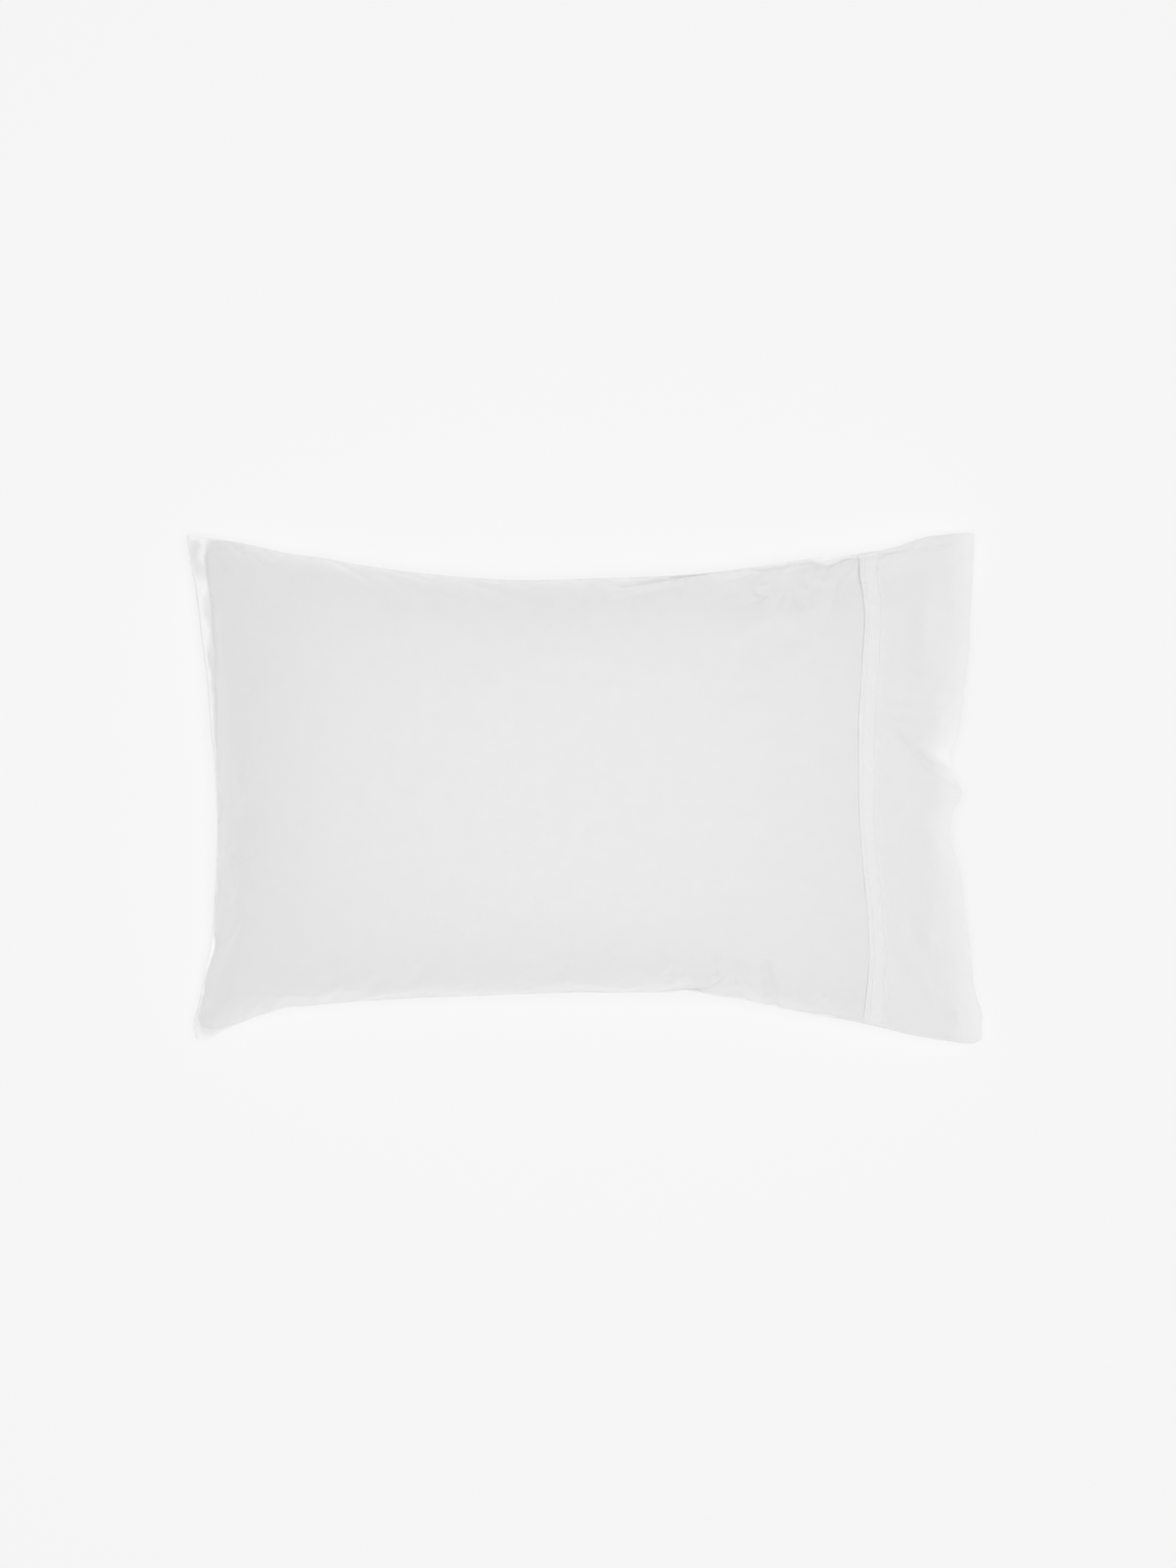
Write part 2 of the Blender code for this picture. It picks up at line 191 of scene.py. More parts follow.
MOUTH_FOLDS = (
    # the deep fold that runs out at the mouth, and the ridges below it
    (0.3, 2, (308, 62, 8, -0.8), (322, 51, 13, -6), (338, 41, 19, -14), (358, 29, 20, -18),
     (374, 20, 19, -16.5), (388, 12, 18, -15)),
    (-0.6, 1.6, (300, 56, 10, 1), (314, 44, 13, 3.4), (331, 26, 15, 5.2), (350, 12, 16, 6.4),
     (366, 1, 16, 6.8), (382, -9, 15, 6.6)),
    (0, 2, (330, -16, 14, 0.8), (352, -26, 16, 3), (372, -36, 14, 2)),
)
CUFF_FOLDS = (
    # soft folds below the mouth's fold
    (0, 2, (288, -2, 10, -0.4), (312, -12, 11, -1.6), (336, -28, 10, -1.6)),
    # soft folds above it
    (0, 2, (294, 74, 5, -1.2), (322, 71, 6, -3), (354, 69, 6, -2.6)),
    (0, 2, (304, 90, 7, -1.2), (326, 86, 8, -2.6), (342, 86, 7, -1)),
    (0, 2, (300, 108, 9, 0.6), (330, 112, 9, 2), (352, 108, 8, 1)),
    # the swell inside the mouth's far half, and the hollow before it
    (0.3, 2.2, (352, 66, 13, 0.8), (362, 112, 14, 4.4), (368, 160, 15, 6), (371, 205, 14, 5),
     (375, 238, 10, 1.6)),
    (0, 2.2, (328, 96, 12, -0.6), (332, 130, 12, -2.2), (334, 170, 12, -2.4), (336, 200, 12, -1)),
    (0, 2.2, (352, -60, 12, 0.6), (358, -110, 13, 3.2), (366, -160, 13, 3.4), (377, -205, 11, 1.6)),
    # drag lines towards the near corner
    (0.2, 2, (300, -140, 8, -0.6), (318, -164, 8, -2.2), (336, -186, 8, -2.2), (350, -208, 7, -1)),
    (0.2, 2, (326, -128, 7, -0.6), (340, -146, 8, -1.8), (352, -160, 7, -0.6)),
    (0, 2, (316, -134, 6, 0.4), (332, -156, 6, 1.6), (348, -178, 6, 0.6)),
    (0, 2, (368, -222, 5, -0.8), (373, -230, 5, -2.6), (376, -238, 4, -0.8)),
    (0, 2, (294, -70, 11, -0.6), (322, -78, 12, -2.2), (346, -84, 9, -0.8)),
    # tucks on the far seam
    (0, 1.4, (292, 227, 2.4, 0.6), (300, 231.5, 2.6, 3), (313, 236.5, 2.2, 1.6)),
    (0, 1.6, (298, 236, 2.2, -0.6), (312, 238.5, 2.6, -1.8), (326, 243, 2.2, -0.8)),
    (0, 1.6, (326, 243, 2, 0.6), (346, 247.5, 2.2, 2.2), (364, 251, 2, 1)),
    (0, 1.6, (330, 239.5, 2.2, -0.6), (350, 243.5, 2.6, -2.4), (368, 247.5, 2.2, -1)),
)
# Places where the body's cloth is a little too long for its seams: x, y, reach, share
SLACK = (
    (170, 190, 62, 0.45), (232, 215, 40, 0.5), (70, 205, 50, 0.25), (112, -198, 42, 0.8),
    (190, -205, 34, 0.6), (-250, 215, 60, 0.12), (-372, -20, 60, 0.35), (-378, -120, 50, 0.45),
    (-300, -212, 45, 0.25),
)


# ---------------- curves
def along(columns, name, at):
    """Smooth values of a column at places along the table's first column, with no overshoot."""
    xs, ys = next(iter(columns.values())), columns[name]
    at = np.clip(np.asarray(at, float), xs[0], xs[-1])
    steps = np.diff(xs)
    rates = np.diff(ys) / steps
    slopes = np.concatenate((rates[:1], np.zeros(len(rates) - 1), rates[-1:]))
    both = rates[:-1] * rates[1:]
    rising = both > 0
    slopes[1:-1][rising] = 2 * both[rising] / (rates[:-1] + rates[1:])[rising]
    i = np.clip(np.searchsorted(xs, at, side="right") - 1, 0, len(steps) - 1)
    t = (at - xs[i]) / steps[i]
    rise = ys[i + 1] - ys[i]
    start, end = slopes[i] * steps[i], slopes[i + 1] * steps[i]
    return ys[i] + t * start + t * t * (3 * rise - 2 * start - end) + t**3 * (start + end - 2 * rise)


def ease(low, high, at):
    """0 below low, 1 above high and a soft step between them."""
    t = np.clip((at - low) / (high - low), 0, 1)
    return t * t * (3 - 2 * t)


def bump(at, middle, width):
    return np.exp(-(((at - middle) / width) ** 2))


def swell(share, power):
    """The quarter round of a filled edge: 0 at share 0, upright there, and level at 1."""
    share = np.clip(share, 0, 1)
    return (1 - (1 - share) ** power) ** (1 / power)


def rest(z):
    """Height of the underside held up by the surface: level at 0 where it is pressed down."""
    bend = (np.clip(z, -TOUCH, TOUCH) + TOUCH) ** 2 / (4 * TOUCH)
    return np.where(z >= TOUCH, z, bend)


def uneven(at, *lengths):
    """A smooth irregular wave within -1 and 1, a mean of sines of the given lengths."""
    waves = [np.sin(2 * math.pi * at / length + 1.7 * k + 0.9 * k * k)
             for k, length in enumerate(lengths, 1)]
    return sum(waves) / len(waves)


def spread_marks(*runs):
    """Places with chosen spacings along a length: each run is its end and its step, in millimetres."""
    marks = [0.0]
    for end, step in runs:
        count = max(1, round((end - marks[-1]) / step))
        marks += list(np.linspace(marks[-1], end, count + 1)[1:])
    return np.array(marks)


# ---------------- the case's form
def closed_end(v):
    return along(CLOSED_END, "x", v)


def cuff_edge(v):
    return along(CUFF_LINE, "x", v)


def body_tail(v):
    return cuff_edge(v) + PLUG


def span_of(x):
    return along(FAR_SEAM, "y", x) - along(NEAR_SEAM, "y", x)


def soft_foot(inside, foot, power=1.0):
    """Eases the steep first millimetres of the filled part next to a flat edge."""
    return 1 - np.exp(-((np.maximum(inside, 0) / foot) ** power))


def unfilled(share):
    """1 at a seam, falling to 0 at the inner side of its flat edge."""
    return 1 - np.clip(share / EDGE_BAND, 0, 1)


def spot(a, q, start, end):
    """Where a place on the cloth lies: x, v, nearness to a seam, fill at the closed end, the edge's curl.

    a and q run from 0 to 1 along and across, with a fixed band of each kept for the flat seam edges,
    so that the filled part starts at the same a or q all along its seam. v is a share of the width.
    """
    x = start(q) + (end(q) - start(q)) * a
    lumps = 1 + 0.25 * uneven(x, 131, 73, 47)
    span = span_of(x)
    near = along(NEAR_SEAM, "flap", x) * lumps / span
    far = FAR_FLANGE * lumps / span
    inner = 0.5 - 0.5 * np.cos(math.pi * np.clip((q - EDGE_BAND) / (1 - 2 * EDGE_BAND), 0, 1))
    v = near + inner * (1 - near - far)
    v = np.where(q < EDGE_BAND, near * q / EDGE_BAND, v)
    v = np.where(q > 1 - EDGE_BAND, 1 - far * (1 - q) / EDGE_BAND, v)
    first, last = start(v), end(v)
    flap = along(CLOSED_END, "flap", v) * (1 + 0.05 * uneven(v * FLAT_WIDTH, 143, 71, 47))
    droop = EDGE_DROOP * np.tanh(EDGE_TILT * np.where(q < 0.5, near, far) * span / EDGE_DROOP)
    curl = droop * unfilled(np.minimum(q, 1 - q))
    if start is closed_end:
        curl = curl + along(CLOSED_END, "tilt", v) * flap * unfilled(a)
        b = np.clip((a - EDGE_BAND) / (1 - EDGE_BAND), 0, 1)
        filled = (last - first - flap) * b * b * (1 + END_EASE) / (b + END_EASE)
        x = first + flap * np.minimum(a / EDGE_BAND, 1) + filled
    else:
        x = first + (last - first) * a
        filled = x - closed_end(v) - flap
    foot = soft_foot(filled, along(CLOSED_END, "foot", v), 1.5)
    return x, v, np.abs(2 * inner - 1), foot * swell(filled / END_ROUND, END_POWER), curl


def across(x, v, inset):
    far = along(FAR_SEAM, "y", x) - inset
    near = along(NEAR_SEAM, "y", x) + inset
    return near + v * (far - near)


def seam_height(x, v):
    far, near = along(FAR_SEAM, "z", x), along(NEAR_SEAM, "z", x)
    lift = along(CLOSED_END, "lift", v) * (1 - ease(-400, -240, x))
    return near + v * (far - near) + lift


def fill_near(x, v, s):
    """How full the case is for its distance from the side seams."""
    foot = NEAR_FOOT + (FAR_FOOT - NEAR_FOOT) * ease(0.4, 0.6, v)
    return soft_foot((1 - s) * span_of(x) / 2, foot)


def front_form(x, v, s, end, curl, inset=0.0, thin=0.0, half=SEAM_HALF, close=1.0):
    """Points of the front, drawn in at the outline by inset and in height by thin at the middle."""
    middle = seam_height(x, v) + curl
    full = end * fill_near(x, v, s) * (along(SECTIONS, "crown", x) - middle)
    rise = full * (1 - s ** along(SECTIONS, "spread", x)) ** along(SECTIONS, "blunt", x)
    keep = close * (1 - thin / np.maximum(full, thin + 1))
    return np.stack((x, across(x, v, inset), middle + half + keep * np.maximum(rise, 0)), axis=-1)


def back_form(x, v, s, end, curl, inset=0.0, thin=0.0, half=SEAM_HALF, close=1.0):
    """Points of the back, in the same way, held up by the surface."""
    middle = seam_height(x, v) + curl
    full = end * fill_near(x, v, s) * (middle + PRESS)
    fall = full * (1 - s ** along(SECTIONS, "back_spread", x)) ** along(SECTIONS, "back_blunt", x)
    keep = 1 - thin / np.maximum(full, thin + 1)
    start = middle - half
    low = rest(start - np.maximum(fall, 0))
    z = start + close * (low + (start - low) * (1 - keep) - start)
    return np.stack((x, across(x, v, inset), z), axis=-1)


def body_form(layer):
    """The body's front or back, dipping under the cuff to a rounded end."""

    def form(x, v, s, end, curl):
        past = x - cuff_edge(v)
        tucked = ease(-1.0, 0.3, past)
        rounding = np.clip((past - (PLUG - PLUG_ROUND)) / PLUG_ROUND, 0, 1)
        close = (1 - rounding**2.4) ** (1 / 2.4)
        corner = PLUG_CORNER * (1 - (1 - rounding**2.2) ** (1 / 2.2))
        dip = BACK_DIP * tucked
        if layer is front_form:
            dip = LAP_DIP * ease(4, 12, past) - EDGE_LIP * bump(past, -2.0, 1.0)
        half = SEAM_HALF * (1 - 0.5 * tucked)
        side = EDGE_SIDE_DIP * tucked + (SIDE_DIP - EDGE_SIDE_DIP) * ease(1, 9, past)
        return layer(x, v, s, end, curl, side + corner, dip, half, close)

    return form


def lapped_front(x, v, s, end, curl):
    """The cuff's outer side on the front, a little above the body's cloth."""
    points = front_form(x, v, s, end, curl)
    points[..., 2] += LAP_RISE * ease(0, 0.02, np.minimum(v, 1 - v))
    return points


# ---------------- laying cloth on the form
def lay_cloth(form, start, end, marks, shares, rounds=6):
    """Grid of points on a form whose lines run where the cloth's own threads would.

    marks and shares are the grid's places along and across the flat cloth, from 0 to 1.
    """
    q = np.tile(shares, (len(marks), 1))
    a = np.tile(marks[:, None], (1, len(shares)))

    def lengths(axis):
        steps = np.linalg.norm(np.diff(form(*spot(a, q, start, end)), axis=axis), axis=2)
        arcs = np.cumsum(steps, axis=axis)
        arcs = np.concatenate((np.zeros_like(arcs.take([0], axis=axis)), arcs), axis=axis)
        return arcs / arcs.take([-1], axis=axis)

    for _ in range(rounds):
        arcs = lengths(0)
        for j in range(len(shares)):
            a[:, j], q[:, j] = np.interp(marks, arcs[:, j], a[:, j]), np.interp(marks, arcs[:, j], q[:, j])
        arcs = lengths(1)
        for i in range(len(marks)):
            a[i], q[i] = np.interp(shares, arcs[i], a[i]), np.interp(shares, arcs[i], q[i])
    return form(*spot(a, q, start, end))


def close_edges(front, back, ends=True):
    """Bring the edges of two grids together along the seams, and at both ends if they are sewn."""
    seam = (front + back) / 2
    for panel in (front, back):
        panel[:, 0], panel[:, -1] = seam[:, 0], seam[:, -1]
        if ends:
            panel[0], panel[-1] = seam[0], seam[-1]
    return front, back


def lay_body(marks, shares):
    """The body's front and back at places along and across its cut, in millimetres."""
    seen, tucked = marks[marks <= FLAT_BODY], marks[marks >= FLAT_BODY] - FLAT_BODY
    panels = []
    for layer in (front_form, back_form):
        form = body_form(layer)
        outside = lay_cloth(form, closed_end, cuff_edge, seen / FLAT_BODY, shares / FLAT_WIDTH)
        inside = lay_cloth(form, cuff_edge, body_tail, tucked / tucked[-1], shares / FLAT_WIDTH)
        panels.append(np.concatenate((outside, inside[1:])))
    return close_edges(*panels)


def unit(vectors):
    """Vectors of length 1 in the same directions."""
    return vectors / np.maximum(np.linalg.norm(vectors, axis=-1, keepdims=True), 1e-9)


def outward(points):
    """Unit normals of a grid of points, up for a grid that runs along X and then Y."""
    return unit(np.cross(np.gradient(points, axis=0), np.gradient(points, axis=1)))


def fold_heights(x, y, lean, power, *stations):
    """Heights of one fold at places in plan."""
    stations = np.array(stations, float)
    chords = np.hypot(*np.diff(stations[:, :2], axis=0).T)
    at = np.concatenate(((0.0,), np.cumsum(chords)))
    steps = np.linspace(0, at[-1], 5 * len(chords) + 1)
    line_x, line_y, widths, heights = [along({"at": at, "of": c}, "of", steps) for c in stations.T]
    reach = 3.2 * widths.max()
    close = (x > line_x.min() - reach) & (x < line_x.max() + reach)
    close &= (y > line_y.min() - reach) & (y < line_y.max() + reach)
    px, py = x[close], y[close]
    nearest = np.full(px.shape, 1e9)
    pushed = np.zeros(px.shape)
    for k in range(len(steps) - 1):
        run_x, run_y = line_x[k + 1] - line_x[k], line_y[k + 1] - line_y[k]
        run = math.hypot(run_x, run_y)
        share = np.clip(((px - line_x[k]) * run_x + (py - line_y[k]) * run_y) / run**2, 0, 1)
        off_x, off_y = px - line_x[k] - share * run_x, py - line_y[k] - share * run_y
        off = np.hypot(off_x, off_y)
        side = (run_x * off_y - run_y * off_x) / (run * np.maximum(off, 1e-6))
        width = (widths[k] + share * (widths[k + 1] - widths[k])) * (1 + lean * side)
        height = heights[k] + share * (heights[k + 1] - heights[k])
        nearer = off < nearest
        nearest[nearer] = off[nearer]
        pushed[nearer] = (height * np.exp(-((off / width) ** power)))[nearer]
    result = np.zeros(x.shape)
    result[close] = pushed
    return result


def fold(points, folds, shares):
    """Push a front grid out and up by its folds, leaving its outline where it is."""
    x, y = points[..., 0], points[..., 1]
    push = sum(fold_heights(x, y, *row) for row in folds)
    push = push * ease(0, 5, np.minimum(shares, FLAT_WIDTH - shares))
    return points + unit(outward(points) + (0, 0, 0.8)) * push[..., None]


def rumple(points, height, size):
    """Faint unevenness that pressed cotton keeps, at two sizes."""
    push = np.empty(points.shape[:2])
    for place in np.ndindex(push.shape):
        at = Vector(points[place])
        push[place] = noise.noise(at / size) + 0.45 * noise.noise(at * 2.6 / size)
    push[:, 0] = push[:, -1] = 0
    push[0] = push[-1] = 0
    return points + outward(points) * (height * push)[..., None]


# ---------------- settling the filled body
SETTLE_FRAMES = 14
SETTLE_CAP = 6.0         # how far the settled cloth may move
SLACK_MOST = 0.02        # the share by which the cloth is too long where SLACK is 1
BROAD_SHARE = 0.75       # how much of the settling's broad part is left out, and the rounds of
BROAD_ROUNDS = 160       # averaging that find this part


def settle(front, back, marks, shares):
    """How far each point of the body's cloth moves as it fills: a short cloth simulation.

    The springs are as long as the flat cut, so the cloth puckers where its seams are too short for it.
    """
    rows, columns = front.shape[:2]
    count = rows * columns
    start = np.concatenate((front.reshape(-1, 3), back.reshape(-1, 3)))
    along_cut, across_cut = np.meshgrid(marks, shares, indexing="ij")
    lift = np.full((rows, columns), SEAM_HALF)
    lift[0] = lift[-1] = lift[:, 0] = lift[:, -1] = 0
    sheets = [np.stack((along_cut, across_cut, side * lift), -1) for side in (1, -1)]
    cut = np.concatenate([sheet.reshape(-1, 3) for sheet in sheets])

    mesh = bmesh.new()
    number = mesh.verts.layers.int.new("number")
    for panel, points in enumerate((front, back)):
        flat = np.stack((along_cut, across_cut), -1)
        place = put_grid(mesh, points, flat, panel == 0)
        for vertex, (i, j) in place.items():
            vertex[number] = panel * count + i * columns + j
    sew(mesh)
    data = bpy.data.meshes.new("settling")
    mesh.verts.ensure_lookup_table()
    numbers = np.array([vertex[number] for vertex in mesh.verts])
    mesh.to_mesh(data)
    mesh.free()
    filled = put_in_scene("settling", data)
    filled.shape_key_add(name="filled")
    flat_key = filled.shape_key_add(name="flat cut")
    flat_key.data.foreach_set("co", (cut[numbers] * MM).ravel())

    edge = np.minimum(np.minimum(shares[None, :], FLAT_WIDTH - shares[None, :]), marks[:, None])
    under_cuff = ease(FLAT_BODY - 34, FLAT_BODY - 4, marks)[:, None]
    held = np.maximum(np.where(edge < 0.1, 0.9, 0.0), under_cuff)
    held = np.concatenate((held.ravel(), np.maximum(held, 0.9 * (back[..., 2] < 1.0)).ravel()))[numbers]
    slack = 0.12 * np.exp(-((edge / 40) ** 2)).ravel()
    extra = np.zeros(2 * count)
    for x, y, reach, share in SLACK:
        extra += share * np.exp(-((start[:, 0] - x) ** 2 + (start[:, 1] - y) ** 2) / reach**2)
    extra[count:] *= 0.5
    slack = np.clip(np.concatenate((slack, 2.2 * slack)) + extra, 0, 1)[numbers] * (held < 0.95)
    for name, weights in (("held", held), ("tight", 1 - slack)):
        group = filled.vertex_groups.new(name=name)
        for k, weight in enumerate(weights):
            group.add([k], float(weight), "REPLACE")

    cloth = filled.modifiers.new("cloth", "CLOTH")
    settings = cloth.settings
    settings.quality = 5
    settings.mass = 0.1
    settings.tension_stiffness = settings.compression_stiffness = 15
    settings.shear_stiffness = 5
    settings.bending_stiffness = 0.5
    settings.use_pressure = True
    settings.uniform_pressure_force = 1.5
    settings.vertex_group_mass = "held"
    settings.rest_shape_key = flat_key
    settings.shrink_min, settings.shrink_max = -SLACK_MOST, 0.0
    settings.vertex_group_shrink = "tight"
    settings.effector_weights.gravity = 0
    cloth.collision_settings.use_collision = False
    stage = bpy.context.scene
    stage.frame_start, stage.frame_end = 1, SETTLE_FRAMES
    for step in range(1, SETTLE_FRAMES + 1):
        stage.frame_set(step)
    settled = filled.evaluated_get(bpy.context.evaluated_depsgraph_get()).data
    places = np.empty(3 * len(settled.vertices))
    settled.vertices.foreach_get("co", places)
    moves = np.full((2 * count, 3), np.nan)
    moves[numbers] = places.reshape(-1, 3) / MM - ORIGIN - start[numbers]
    stage.frame_set(1)
    bpy.data.objects.remove(filled)

    front_moves, back_moves = moves.reshape(2, rows, columns, 3)
    for here, there in ((front_moves, back_moves), (back_moves, front_moves)):
        missing = np.isnan(here)
        here[missing] = there[missing]
    return front_moves, back_moves


def smooth(grid, times):
    """A grid of vectors after many rounds of averaging with its neighbours."""
    for _ in range(times):
        padded = np.pad(grid, ((1, 1), (1, 1), (0, 0)), mode="edge")
        grid = (padded[:-2, 1:-1] + padded[2:, 1:-1] + padded[1:-1, :-2] + padded[1:-1, 2:]) / 4
    return grid


def cap(moves, most):
    """Shorten the moves that are longer than most, softly."""
    size = np.linalg.norm(moves, axis=2, keepdims=True)
    return moves * np.tanh(size / most) * most / np.maximum(size, 1e-9)


def resample(grid, old_marks, old_shares, marks, shares):
    """A coarse grid of vectors read at a finer grid's places, smoothly."""

    def read(values, old, new):
        i = np.clip(np.searchsorted(old, new, side="right") - 1, 0, len(old) - 2)
        t = ((new - old[i]) / (old[i + 1] - old[i])).reshape(-1, *[1] * (values.ndim - 1))
        before, after = values[np.maximum(i - 1, 0)], values[np.minimum(i + 2, len(old) - 1)]
        here, there = values[i], values[i + 1]
        squared = (2 * before - 5 * here + 4 * there - after) * t**2
        cubed = (3 * here - before - 3 * there + after) * t**3
        return here + 0.5 * ((there - before) * t + (squared + cubed))

    halfway = read(grid, old_marks, marks)
    return read(halfway.swapaxes(0, 1), old_shares, shares).swapaxes(0, 1)


# ---------------- meshes
def put_grid(mesh, points, flat, upward=True):
    """Add a grid of points as cloth, with the flat cloth's own measures as its UV map."""
    rows, columns = points.shape[:2]
    made = bmesh.ops.create_grid(mesh, x_segments=rows - 1, y_segments=columns - 1, size=0.5)["verts"]
    uv = mesh.loops.layers.uv.verify()
    placed = ((points + ORIGIN) * MM).tolist()
    measures = (flat * MM).tolist()
    place = {}
    for vertex in made:
        i = round((vertex.co.x + 0.5) * (rows - 1))
        j = round((vertex.co.y + 0.5) * (columns - 1))
        place[vertex] = (i, j)
        vertex.co = placed[i][j]
    faces = {face for vertex in made for face in vertex.link_faces}
    for face in faces:
        face.smooth = True
        for loop in face.loops:
            i, j = place[loop.vert]
            loop[uv].uv = measures[i][j]
    if not upward:
        bmesh.ops.reverse_faces(mesh, faces=list(faces))
    return place


def sew(mesh, gap=0.002):
    """Join the edges of grids that meet."""
    edge_points = [vertex for vertex in mesh.verts if vertex.is_boundary]
    bmesh.ops.remove_doubles(mesh, verts=edge_points, dist=gap * MM)


def flat_map(marks, shares, shift=0.0):
    """The flat cloth's measures at each point of a grid."""
    return np.stack(np.meshgrid(marks, shares + shift, indexing="ij"), axis=-1)


def put_in_scene(name, data):
    """A new object in the scene."""
    made = bpy.data.objects.new(name, data)
    bpy.context.scene.collection.objects.link(made)
    return made


def make_piece(mesh, name, material):
    """A finished object from a mesh, with one material."""
    data = bpy.data.meshes.new(name)
    mesh.to_mesh(data)
    mesh.free()
    data.materials.append(material)
    return put_in_scene(name, data)


def build_body(material):
    """The body's cloth, front and back sewn along the seams and the closed end."""
    length = FLAT_BODY + PLUG
    marks = spread_marks((24, 1.5), (80, 2.6), (640, 3.4), (688, 3), (FLAT_BODY, 0.6), (694.6, 0.8),
                         (700, 1.3), (716, 2.5), (length, 5))
    shares = spread_marks((1, 0.5), (25, 1.6), (90, 2.6), (418, 4.4), (483, 2.6), (507, 1.6), (508, 0.5))
    front, back = lay_body(marks, shares)
    coarse_marks = spread_marks((60, 4.6), (FLAT_BODY, 5), (length, 6))
    coarse_shares = spread_marks((60, 4.4), (120, 6), (388, 8), (448, 6), (508, 4.4))
    moves = settle(*lay_body(coarse_marks, coarse_shares), coarse_marks, coarse_shares)
    for panel, move in zip((front, back), moves):
        move = cap(move - BROAD_SHARE * smooth(move, BROAD_ROUNDS), SETTLE_CAP)
        move = move * (1 - ease(FLAT_BODY - 4, FLAT_BODY + 10, coarse_marks))[:, None, None]
        panel += resample(move, coarse_marks, coarse_shares, marks, shares)
    # under the cuff the body sinks with the cuff's own hollows
    pressed = np.minimum(fold(front, CUFF_FOLDS, shares) - front, 0) * (0, 0, 1)
    front = fold(front, SHARED_FOLDS + BODY_FOLDS, shares)
    front = front + pressed * ease(FLAT_BODY, FLAT_BODY + 10, marks)[:, None, None]
    front = rumple(front, height=0.3, size=36)
    part_panels(front, back)
    back[..., 2] = np.maximum(back[..., 2], 0)
    close_edges(front, back)
    mesh = bmesh.new()
    put_grid(mesh, front, flat_map(marks, shares))
    put_grid(mesh, back, flat_map(marks, shares, FLAT_WIDTH + 20), upward=False)
    sew(mesh)
    return make_piece(mesh, "case_body_cloth", material)


def part_panels(front, back, gap=0.9):
    """Keep the front a little above the back where the case is unfilled."""
    short = np.maximum(gap - (front[..., 2] - back[..., 2]), 0) / 2
    front[..., 2] += short
    back[..., 2] -= short


def hem_relief(marks, widths):
    """Heights of the turned edge, its rows of stitching and its small puckers."""
    p, w = marks[:, None], widths[None, :]
    step = p + 0.5 * uneven(w, 61, 27)
    band = HEM_RISE * (1 - ease(HEM_TURN - 0.5, HEM_TURN + 0.8, step)) * (0.1 + 0.9 * ease(0, 1.4, p))
    band = band - 0.4 * bump(step, HEM_TURN + 1.9, 1.3)
    rows = sum(-0.42 * bump(p, row, 0.6) for row in STITCH_ROWS)
    pucker_height = 0.16 * bump(p, 3.7, 1.8) + 0.24 * ease(4, 8, p) * (1 - ease(13, 20, p))
    puckers = uneven(w, 7.3, 11.9, 17.1) * pucker_height
    ripple = 0.5 * uneven(w + 1.5 * p, 23, 37, 14) * ease(8, 18, p) * (1 - ease(22, 58, p))
    return band + rows + puckers + ripple


def lay_cuff(marks, shares):
    """The cuff's outer side on the front and the back."""
    mouth = lambda v: along(MOUTH, "x", v)
    under = lambda v: along(MOUTH, "under", v)
    places = marks / marks[-1], shares / shares[-1]
    front = lay_cloth(lapped_front, cuff_edge, mouth, *places)
    back = lay_cloth(back_form, cuff_edge, under, *places)
    opening = np.clip((front[..., 2] - back[..., 2]) / 24, 0, 1)
    droop = np.clip(1 - (FLAT_CUFF - marks) / DROOP_FROM, 0, 1)[:, None] ** 1.6
    front[..., 2] -= MOUTH_DROOP * droop * opening
    front = fold(front, SHARED_FOLDS + MOUTH_FOLDS + CUFF_FOLDS, shares)
    near_edge = ease(0, 6, np.minimum(shares, FLAT_WIDTH - shares))[None, :]
    relief = hem_relief(marks, shares) * near_edge
    front = front + outward(front) * relief[..., None]
    back_relief = hem_relief(marks, shares + BACK_SHIFT) * near_edge - HEM_RISE
    back = back - outward(back) * np.minimum(back_relief, 0)[..., None] * 0.7
    past_turn = ease(14, 22, marks)[:, None]
    lapped = LAP_RISE - LAP_GAP + (CUFF_CLOTH - LAP_RISE + LAP_GAP) * past_turn
    plain = CUFF_CLOTH * (0.5 + 0.5 * ease(0, 3, marks)[:, None]) * np.ones_like(relief)
    thick = ring(lapped + relief * (1 - past_turn), plain)
    taper = 0.4 + 0.6 * ease(1, 10, np.minimum(shares, FLAT_WIDTH - shares)[None, :])
    thick = thick * ring(taper, taper)
    return *close_edges(front, back, ends=False), thick


def ring(front, back):
    """Columns once round the sleeve: the front's, then the back's the other way."""
    return np.concatenate((front, back[:, -2:0:-1]), axis=1)


def ring_outward(points):
    """Unit normals of a ring of columns."""
    around = np.roll(points, -1, axis=1) - np.roll(points, 1, axis=1)
    return unit(np.cross(np.gradient(points, axis=0), around))


def turn_over(outer, inner, towards, steps=4):
    """Rows of a round edge from an outer row to an inner one."""
    middle, half = (outer + inner) / 2, (outer - inner) / 2
    reach = np.linalg.norm(half, axis=1, keepdims=True)
    angles = [math.pi * k / steps for k in range(1, steps)]
    return np.stack([middle + half * math.cos(a) + towards * reach * math.sin(a) for a in angles])


